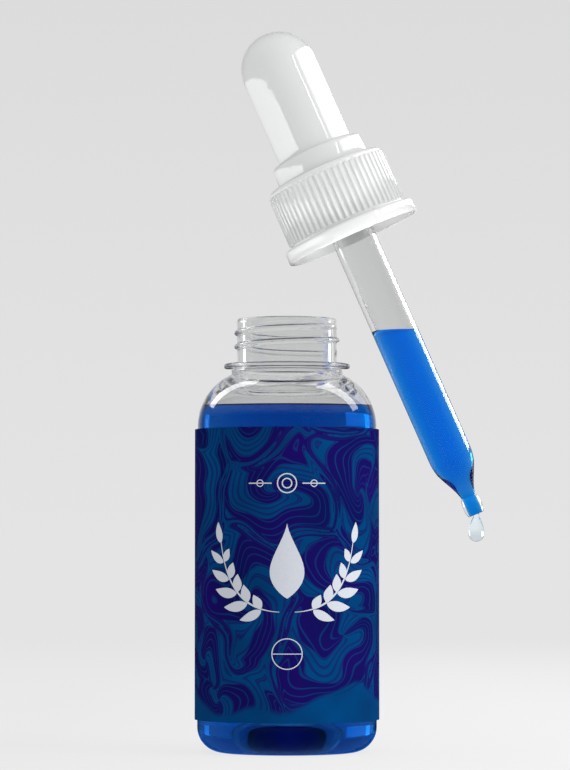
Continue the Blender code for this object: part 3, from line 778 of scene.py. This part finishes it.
# Drop: the last of the oil at the pipette's mouth, hanging plumb by a narrow neck and nearly clear, because
# there is so little of it.
DROP_RADIUS = 0.00136
DROP_NECK = 0.0005
DROP_NECK_LENGTH = 0.0003
DROP_LENGTH = 0.0047
DROP_IN_MOUTH = 0.00025
DROP_STEPS = 48
DROP_SWELL_STEPS = 20

drop_oil = finish_of("clear_drop", (0.97, 0.99, 1.0), 0.0, Transmission_Weight=1.0, IOR=1.45)
glint = patches(drop_oil, 900, 1.0)
set_shader(drop_oil, "Base Color", blended(drop_oil, glint, (0.90, 0.96, 1.0), (1.0, 1.0, 1.0)))
soaked(drop_oil, (0.45, 0.80, 0.97), 70)

mouth_place = dropper_place @ Vector((0, 0, MOUTH))
belly = DROP_RADIUS - DROP_LENGTH
section = [(0.0, DROP_IN_MOUTH), (DROP_NECK, DROP_IN_MOUTH, SMALL_ROUNDING)]
for i in range(DROP_SWELL_STEPS):
    share = i / DROP_SWELL_STEPS
    radius = DROP_NECK + (DROP_RADIUS - DROP_NECK) * math.sin(share * math.pi / 2)
    section.append((radius, -DROP_NECK_LENGTH + (belly + DROP_NECK_LENGTH) * share))
section += arc(0.0, belly, DROP_RADIUS, 0, -90, 14)
drop = piece("hanging_drop_clear", turned(section, DROP_STEPS), drop_oil, Matrix.Translation(mouth_place))
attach(drop, "drop")
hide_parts("hanging_drop")

# Sealing washer: die-cut from white foam sheet. It sits loose round the glass, and is pressed between the
# bulb's flange and the bottle's rim when the cap is on.
WASHER_RADIUS = 0.0086
WASHER_HOLE = 0.00413
WASHER_FOOT = 0.0088
WASHER_TOP = 0.0098
WASHER_ROUNDING = 0.00008

washer_foam = finish_of("washer_foam", (0.72, 0.73, 0.74), 0.75)
pores = patches(washer_foam, 4000, 2.0)
set_shader(washer_foam, "Base Color", blended(washer_foam, pores, (0.60, 0.61, 0.62), (0.80, 0.81, 0.82)))
relief(washer_foam, (pores, 0.00005))

section = [(WASHER_HOLE, WASHER_TOP, WASHER_ROUNDING), (WASHER_RADIUS, WASHER_TOP, WASHER_ROUNDING)]
section += [(WASHER_RADIUS, WASHER_FOOT, WASHER_ROUNDING), (WASHER_HOLE, WASHER_FOOT, WASHER_ROUNDING)]
shape = turned(section, PIPETTE_STEPS, closed=True)
washer = piece("sealing_washer_foam", shape, washer_foam, dropper_place)
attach(washer, "dropper")
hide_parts("sealing_washer")

# Screw cap: one injection-moulded shell of white plastic, with upright grip ribs over a flared skirt, and
# the thread for the neck inside. It turns round the bulb's groove.
CAP_HEIGHT = 0.0130
CAP_CEILING = 0.0118
CAP_ROOT_RADIUS = 0.01045
CAP_BORE_RADIUS = 0.00935
CAP_HOLE_RADIUS = 0.0067
CAP_TOP_ROUNDING = 0.0008
CAP_EDGE_ROUNDING = 0.00015
SKIRT_RADIUS = 0.0120
SKIRT_HEIGHT = 0.0025
SKIRT_ROUNDING = 0.0005
SKIRT_BORE_RADIUS = 0.01115
SKIRT_BORE_DEPTH = 0.0016
CAP_THREAD_RISE = -0.00045
CAP_THREAD_TOP = 0.00611
CAP_THREAD_TURNS = 1.5
CAP_THREAD_ROW = 0.00014
RIB_COUNT = 60
RIB_RISE = 0.00036
RIB_FOOT = 0.0029
RIB_TOP = 0.0121
RIB_CREST_SHARE = 0.19
RIB_FLANK_SHARE = 0.15
RIB_RUN_OUT = 0.00035
STEPS_PER_RIB = 10


def cap_section():
    """Hole, top, rounded edge, the ribs' wall and the skirt, then the counterbore, bore and ceiling."""
    section = [(CAP_HOLE_RADIUS, CAP_HEIGHT, CAP_EDGE_ROUNDING)]
    edge_radius, edge_height = CAP_ROOT_RADIUS - CAP_TOP_ROUNDING, CAP_HEIGHT - CAP_TOP_ROUNDING
    section += arc(edge_radius, edge_height, CAP_TOP_ROUNDING, 90, 0, 8)
    section += rows(CAP_ROOT_RADIUS, RIB_TOP, RIB_TOP - RIB_RUN_OUT, RIB_RUN_OUT / 5)
    section += rows(CAP_ROOT_RADIUS, RIB_FOOT + RIB_RUN_OUT, RIB_FOOT, RIB_RUN_OUT / 5)
    section += [(CAP_ROOT_RADIUS, SKIRT_HEIGHT, CAP_EDGE_ROUNDING)]
    section += [(SKIRT_RADIUS, SKIRT_HEIGHT, SKIRT_ROUNDING), (SKIRT_RADIUS, 0.0, SKIRT_ROUNDING)]
    section += [(SKIRT_BORE_RADIUS, 0.0, CAP_EDGE_ROUNDING), (SKIRT_BORE_RADIUS, SKIRT_BORE_DEPTH)]
    section += [(CAP_BORE_RADIUS, SKIRT_BORE_DEPTH, CAP_EDGE_ROUNDING)]
    thread_foot, thread_top = SKIRT_BORE_DEPTH + 2 * CAP_EDGE_ROUNDING, CAP_THREAD_TOP + THREAD_PITCH / 2
    section += rows(CAP_BORE_RADIUS, thread_foot, thread_top, CAP_THREAD_ROW)
    return section + [(CAP_BORE_RADIUS, CAP_CEILING), (CAP_HOLE_RADIUS, CAP_CEILING)]


def raise_ribs(shape):
    """Raises the round-topped grip ribs, which run out at both ends, and stores painted shade for their
    grooves.
    """
    pitch = 2 * math.pi / RIB_COUNT
    groove = shape.verts.layers.float.new("groove")
    for vert in shape.verts:
        radius = math.hypot(vert.co.x, vert.co.y)
        if abs(radius - CAP_ROOT_RADIUS) > WELD or not RIB_FOOT <= vert.co.z <= RIB_TOP:
            continue
        share = math.atan2(vert.co.y, vert.co.x) / pitch
        aside = abs(share - round(share))
        flank = smooth((RIB_CREST_SHARE + RIB_FLANK_SHARE - aside) / RIB_FLANK_SHARE)
        run_out = smooth(min(vert.co.z - RIB_FOOT, RIB_TOP - vert.co.z) / RIB_RUN_OUT)
        vert.co.x *= 1 + RIB_RISE * flank * run_out / CAP_ROOT_RADIUS
        vert.co.y *= 1 + RIB_RISE * flank * run_out / CAP_ROOT_RADIUS
        # painted shade: the deeper in a groove, the darker the cap is painted there
        vert[groove] = (1 - flank) * run_out


white_plastic = finish_of("white_plastic", (0.885, 0.89, 0.89), 0.06, IOR=1.5)
cloud = patches(white_plastic, 140, 3.0)
open_colour = blended(white_plastic, cloud, (0.87, 0.875, 0.875), (0.90, 0.905, 0.905))
# Painted shade: the grooves between the ribs are painted darker than the crests.
painted_groove_shade = add_node(white_plastic, "Attribute", {"attribute_name": "groove"}).outputs["Fac"]
cap_colour = blended(white_plastic, painted_groove_shade, open_colour, (0.74, 0.745, 0.75))
set_shader(white_plastic, "Base Color", cap_colour)
peel = patches(white_plastic, 1500, 2.0)
set_shader(white_plastic, "Roughness", ranged(white_plastic, peel, 0.04, 0.09))
relief(white_plastic, (peel, 0.000003))

shape = turned(cap_section(), RIB_COUNT * STEPS_PER_RIB, closed=True)
raise_ribs(shape)
raise_thread(shape, CAP_BORE_RADIUS, CAP_THREAD_RISE, CAP_THREAD_TOP, CAP_THREAD_TURNS)
cap = piece("screw_cap_shell", shape, white_plastic, dropper_place)
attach(cap, "cap")
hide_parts("screw_cap")

# Bulb: moulded in one piece of soft white rubber. Its groove snaps into the hole in the cap, the ring stands
# on the cap's top, and the flange and the seat for the glass are inside.
BULB_RADIUS = 0.0067
BULB_WALL = 0.0014
BULB_TOP = 0.0387
BULB_SEAT = 0.0165
BULB_GRIP_RADIUS = 0.00413
BULB_RING_RADIUS = 0.0083
BULB_RING_DRAFT = 0.00012
BULB_RING_TOP = 0.0166
BULB_RING_FOOT = 0.01305
BULB_RING_ROUNDING = 0.0007
BULB_GROOVE_RADIUS = 0.0064
BULB_FLANGE_RADIUS = 0.0086
BULB_FLANGE_TOP = 0.0115
BULB_FLANGE_FOOT = 0.0101
BULB_CORNER = 0.0003
BULB_STEPS = 96


def bulb_section():
    """The dome, side, ring, groove and flange, then the grip for the glass, its seat and the hollow."""
    dome_foot = BULB_TOP - BULB_RADIUS
    section = arc(0.0, dome_foot, BULB_RADIUS, 90, 0, 24)
    section += rows(BULB_RADIUS, dome_foot - EDGE_ROW, BULB_RING_TOP + EDGE_ROW, EDGE_ROW)
    section += [(BULB_RADIUS, BULB_RING_TOP, BULB_CORNER)]
    section += [(BULB_RING_RADIUS - BULB_RING_DRAFT, BULB_RING_TOP, BULB_RING_ROUNDING)]
    section += [(BULB_RING_RADIUS, BULB_RING_FOOT, BULB_CORNER), (BULB_GROOVE_RADIUS, BULB_RING_FOOT)]
    section += [(BULB_GROOVE_RADIUS, BULB_FLANGE_TOP), (BULB_FLANGE_RADIUS, BULB_FLANGE_TOP, BULB_CORNER)]
    section += [(radius, BULB_FLANGE_FOOT, BULB_CORNER) for radius in (BULB_FLANGE_RADIUS, BULB_GRIP_RADIUS)]
    section += [(BULB_GRIP_RADIUS, BULB_SEAT), (BULB_RADIUS - BULB_WALL, BULB_SEAT, BULB_CORNER)]
    hollow = BULB_RADIUS - BULB_WALL
    section += rows(hollow, BULB_RING_TOP + EDGE_ROW, dome_foot - EDGE_ROW, EDGE_ROW)
    return section + arc(0.0, dome_foot, hollow, 0, 90, 16)


white_rubber = finish_of("white_rubber", (0.85, 0.855, 0.86), 0.05, IOR=1.5)
bloom = patches(white_rubber, 120, 3.0)
bulb_colour = blended(white_rubber, bloom, (0.835, 0.84, 0.84), (0.865, 0.87, 0.87))
set_shader(white_rubber, "Base Color", bulb_colour)
skin = patches(white_rubber, 900, 3.0)
set_shader(white_rubber, "Roughness", ranged(white_rubber, skin, 0.03, 0.07))
relief(white_rubber, (skin, 0.00001))

bulb = piece("dropper_bulb", turned(bulb_section(), BULB_STEPS), white_rubber, dropper_place)
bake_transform(bulb)
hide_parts("bulb")

# Table: one plain pale surface, with a painted pool of light round the bottle, brighter to the right, that
# fades into the wall with no line between, and a painted shadow right under the foot. Gloss sees it dark, or
# no blue would show under the white. Close to the bottle it is painted blue to gloss, and to light that
# comes forward
# through the foot: a painted glow of the oil on it.
TABLE_RADIUS = 3.0
TABLE_FADE_START = 0.05
TABLE_FADE_END = 0.8
TABLE_GLOW_SHARE = 0.8
TABLE_SIDE = 0.05
PAINTED_POOL_LEFT_COLOUR = srgb(245, 245, 245)
PAINTED_POOL_RIGHT_COLOUR = srgb(255, 255, 255)
WALL_COLOUR = srgb(228, 228, 228)
FOOT_SHADE_START = 0.0095
FOOT_SHADE_END = 0.0120
DARK_COLOUR = (0.003, 0.003, 0.003)
DARK_FRONT = -0.008
DARK_SLOPE = 50.0
DARK_NEAR = 0.025
DARK_FAR = 0.045
PAINTED_OIL_GLOW_COLOUR = srgb(20, 105, 215)
PAINTED_OIL_GLOW_START = 0.03
PAINTED_OIL_GLOW_END = 0.06


def shader_mix(material, factor, first, second):
    """A shader between two others."""
    node = add_node(material, "MixShader", Fac=factor)
    feed(material, node.inputs[1], first)
    feed(material, node.inputs[2], second)
    return node.outputs["Shader"]


def mirror_ray(material):
    """1 for a ray that a glossy surface throws back, 0 for one that has come through a clear piece."""
    path = add_node(material, "LightPath").outputs
    return worked(material, "SUBTRACT", path["Is Glossy Ray"], path["Is Transmission Ray"], clamp=True)


paint = finish_of("pale_table", WALL_COLOUR, 0.9)
fleck = patches(paint, 30, 2.0)
set_shader(paint, "Base Color", blended(paint, fleck, srgb(224, 224, 225), WALL_COLOUR))
away = moved(paint, "LENGTH", add_node(paint, "TexCoord").outputs["Object"], output="Value")
fade = along(paint, away, TABLE_FADE_START, TABLE_FADE_END, TABLE_GLOW_SHARE, 1.0, soft=True)
far = along(paint, away, TABLE_FADE_START, TABLE_FADE_END, soft=True)
# Painted light: the pool round the bottle is brighter on the right, where the key light falls.
painted_light_rightwards = along(paint, place_on(paint, "X"), -TABLE_SIDE, TABLE_SIDE)
painted_pool_colour = blended(paint, painted_light_rightwards, PAINTED_POOL_LEFT_COLOUR, PAINTED_POOL_RIGHT_COLOUR)
glow_colour = blended(paint, far, painted_pool_colour, WALL_COLOUR)
# Painted shadow: the table's glow fades out right under the bottle's foot.
clear_of_painted_foot_shadow = along(paint, away, FOOT_SHADE_START, FOOT_SHADE_END, soft=True)
glow = add_node(paint, "Emission", Color=glow_colour, Strength=clear_of_painted_foot_shadow).outputs["Emission"]
plain = paint.node_tree.nodes["Principled BSDF"].outputs["BSDF"]
pale = shader_mix(paint, fade, plain, glow)
forward = lead(paint, DARK_FRONT, place_on(paint, "Y"), DARK_SLOPE)
through_clear = add_node(paint, "LightPath").outputs["Is Transmission Ray"]
close = along(paint, away, DARK_NEAR, DARK_FAR, 1.0, 0.0, soft=True)
through_foot = worked(paint, "MULTIPLY", worked(paint, "MULTIPLY", forward, through_clear), close)
unlit = worked(paint, "MAXIMUM", mirror_ray(paint), through_foot)
# Painted glow: close to the bottle, gloss and light through the foot see the table blue, as if lit through
# the oil.
painted_oil_glow = along(paint, away, PAINTED_OIL_GLOW_START, PAINTED_OIL_GLOW_END, soft=True)
painted_oil_glow_colour = blended(paint, painted_oil_glow, PAINTED_OIL_GLOW_COLOUR, DARK_COLOUR)
dark = add_node(paint, "Emission", Color=painted_oil_glow_colour, Strength=1.0).outputs["Emission"]
table_surface = paint.node_tree.nodes["Material Output"].inputs["Surface"]
feed(paint, table_surface, shader_mix(paint, unlit, pale, dark))

shape = bmesh.new()
bmesh.ops.create_circle(shape, cap_ends=True, radius=TABLE_RADIUS, segments=64)
table = piece("table_top", shape, paint)

# Wall and room: the camera and the clear pieces see a pale wall, a little darker higher up. Gloss sees it
# only straight behind, as the room in front is dark to it. Plain grey light comes from all round.
WALL_TOP_COLOUR = srgb(220, 220, 220)
WALL_TOP = 0.155
ROOM_COLOUR = (0.55, 0.553, 0.556)
MIRROR_EDGE = 0.75
MIRROR_FULL = 1.0

room = bpy.data.worlds.new("pale_room")
room.use_nodes = True
bpy.context.scene.world = room
direction = add_node(room, "TexCoord").outputs["Generated"]
direction = add_node(room, "SeparateXYZ", Vector=direction).outputs
wall = blended(room, along(room, direction["Z"], 0.0, WALL_TOP), WALL_COLOUR, WALL_TOP_COLOUR)
behind = along(room, direction["Y"], MIRROR_EDGE, MIRROR_FULL, soft=True)
darkened = worked(room, "MULTIPLY", worked(room, "SUBTRACT", 1.0, behind), mirror_ray(room))
seen = room.node_tree.nodes["Background"]
feed(room, seen.inputs["Color"], blended(room, darkened, wall, DARK_COLOUR))
unseen = add_node(room, "Background", Color=(*ROOM_COLOUR, 1.0), Strength=1.0)
path = add_node(room, "LightPath").outputs
shown = worked(room, "MAXIMUM", path["Is Camera Ray"], path["Is Transmission Ray"])
shown = worked(room, "MAXIMUM", shown, path["Is Glossy Ray"])
choice = shader_mix(room, shown, unseen.outputs["Background"], seen.outputs["Background"])
feed(room, room.node_tree.nodes["World Output"].inputs["Surface"], choice)

# Lamps: each serves only the pieces given with it. The key, top and fill lamps light them and show in no
# gloss. The boxes, strips and panels only show in gloss or through clear pieces: the white bands down the
# bulb, and the bright lines on glass and shoulder.
LIGHT, GLOSS, CLEAR = "light", "gloss", "clear"
PANEL_SIDE = -0.20
PANEL_FOOT = 0.004
PANEL_PARTS = 2
PANEL_STATIONS = (
    (-0.20, 0.0600, 5.4),
    (-0.06, 0.0605, 4.8),
    (0.00, 0.0625, 4.0),
    (0.07, 0.0670, 2.8),
    (0.17, 0.0740, 1.7),
    (0.28, 0.0830, 1.0),
    (0.50, 0.0950, 0.7),
)

white_pieces = (cap, bulb, washer)
printed_pieces = (label, ink, table)
clear_pieces = (bottle, bottle_oil, pipette, pipette_oil, drop)


def softbox(name, place, facing, width, height, radiance, pieces, *seen_in):
    """A rectangular lamp of that radiance, turned to face that way, which serves these pieces alone."""
    data = bpy.data.lights.new(name, "AREA")
    data.shape = "RECTANGLE"
    data.size, data.size_y = width, height
    data.energy = radiance * math.pi * width * height
    lamp = bpy.data.objects.new(name, data)
    lamp.location = place
    lamp.rotation_euler = Vector(facing).to_track_quat("-Z", "Y").to_euler()
    lamp.visible_camera = False
    lamp.visible_diffuse = LIGHT in seen_in
    lamp.visible_glossy = GLOSS in seen_in
    lamp.visible_transmission = CLEAR in seen_in
    served = bpy.data.collections.new("lit_by_" + name)
    for served_piece in pieces:
        served.objects.link(served_piece)
    lamp.light_linking.receiver_collection = served
    bpy.context.scene.collection.objects.link(lamp)


softbox("key_label", (0.50, -0.24, 0.16), (-0.9, 0.43, -0.1), 0.40, 0.30, 4.5, printed_pieces, LIGHT)
softbox("key_white", (0.45, -0.315, 0.25), (-0.82, 0.57, -0.25), 0.40, 0.30, 2.7, white_pieces, LIGHT)
softbox("top_white", (0.0, 0.0, 0.60), (0, 0, -1), 0.30, 0.30, 2.3, white_pieces, LIGHT)
softbox("fill_left", (-0.33, 0.05, 0.12), (1, -0.15, 0), 0.10, 0.10, 4.8, white_pieces, LIGHT)
softbox("fill_below", (0.045, -0.05, 0.004), (-0.03, 0.05, 0.085), 0.03, 0.03, 24.0, (cap,), LIGHT)
softbox("panel_below", (0.02, -0.25, 0.006), (0, 0.6, 0.8), 0.30, 0.12, 3.0, (cap,), GLOSS)
softbox("softbox_right", (0.42, 0.325, 0.44), (-1, 0, 0), 1.17, 0.25, 5.0, white_pieces, GLOSS, CLEAR)
softbox("thin_strip_right", (0.42, -0.42, 0.44), (-1, 0, 0), 0.04, 0.25, 16.0, white_pieces, GLOSS, CLEAR)
for number in range(PANEL_PARTS * (len(PANEL_STATIONS) - 1)):
    station, part = divmod(number, PANEL_PARTS)
    near_end, far_end = PANEL_STATIONS[station : station + 2]
    share = (part + 0.5) / PANEL_PARTS
    middle, top, radiance = (first + (second - first) * share for first, second in zip(near_end, far_end))
    width, height = (far_end[0] - near_end[0]) / PANEL_PARTS, top - PANEL_FOOT
    place = (PANEL_SIDE, middle, (PANEL_FOOT + top) / 2)
    softbox(f"panel_left_{number}", place, (1, 0, 0), width, height, radiance, white_pieces, GLOSS, CLEAR)
softbox("strip_back_left", (-0.35, 0.30, 0.07), (0.76, -0.65, 0), 0.06, 0.14, 2.4, clear_pieces, CLEAR)
softbox("wide_back_left", (-0.33, 0.33, 0.03), (0.7, -0.7, 0), 0.30, 0.06, 0.9, (bottle, bottle_oil), CLEAR)
softbox(
    "strip_back_right", (0.35, 0.30, 0.07), (-0.76, -0.65, 0), 0.06, 0.14, 1.5, clear_pieces, GLOSS, CLEAR
)
softbox("line_on_glass", (0.35, 0.23, 0.235), (-1, -0.6, 0), 0.28, 0.13, 14.0, (pipette,), GLOSS)
softbox("shoulder_left", (-0.23, 0.165, 0.33), (0.8, -0.6, -0.6), 0.08, 0.34, 5.0, (bottle,), GLOSS)
softbox("shoulder_right", (0.25, 0.09, 0.33), (-0.9, -0.3, -0.6), 0.14, 0.34, 5.0, (bottle,), GLOSS)
glass_and_oil = (pipette, pipette_oil)
softbox("line_through_glass", (-0.26, 0.24, 0.01), (0.73, -0.68, 0.1), 0.05, 0.12, 6.0, glass_and_oil, CLEAR)
softbox("drop_light", (-0.25, 0.35, 0.05), (0.6, -0.8, 0), 0.20, 0.20, 2.5, (drop,), GLOSS, CLEAR)

# Camera: a long lens near the height of the bottle's label, tipped up a little, level from side to side.
SENSOR = 36.0
FOCAL_PIXELS = 3513
IMAGE_HEIGHT_PIXELS = 770
CAMERA_PLACE = (-0.00034, -0.605, 0.035)
CAMERA_AIM = (-0.00034, 0.0, 0.063)
BOUNCES = 32

camera_data = bpy.data.cameras.new("camera")
camera_data.sensor_width = SENSOR
camera_data.lens = SENSOR * FOCAL_PIXELS / IMAGE_HEIGHT_PIXELS
camera = bpy.data.objects.new("camera", camera_data)
camera.location = CAMERA_PLACE
camera.rotation_euler = (Vector(CAMERA_AIM) - Vector(CAMERA_PLACE)).to_track_quat("-Z", "Y").to_euler()
bpy.context.scene.collection.objects.link(camera)
bpy.context.scene.camera = camera

bpy.context.scene.view_settings.view_transform = "Standard"
light_paths = bpy.context.scene.cycles
light_paths.max_bounces = light_paths.glossy_bounces = light_paths.transmission_bounces = BOUNCES
